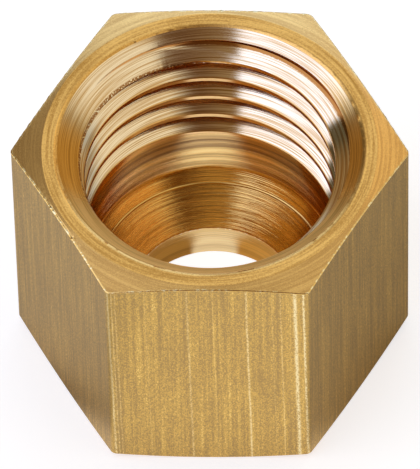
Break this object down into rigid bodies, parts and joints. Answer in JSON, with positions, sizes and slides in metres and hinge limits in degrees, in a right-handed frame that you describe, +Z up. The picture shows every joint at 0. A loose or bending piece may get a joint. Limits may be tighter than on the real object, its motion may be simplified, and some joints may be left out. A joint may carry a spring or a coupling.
{
  "type": "compression nut",
  "caption": "Hexagon brass compression nut with a threaded mouth, a ferrule chamber with a conical seat, and a through bore for tube.",
  "frame": {"origin": "middle of the lower end face, the end that the tube enters", "axes": "+Z up along the nut's axis, out of the threaded mouth; two flats face -Y and +Y, two corners point along -X and +X"},
  "size_m": [0.0196, 0.017, 0.0145],
  "materials": {
    "brass": "bare drawn hexagon bar with fine lengthwise streaks, ends and bores turned bright with tool rings"
  },
  "bodies": {
    "root": {"compression_nut": "brass"}
  },
  "joints": []
}
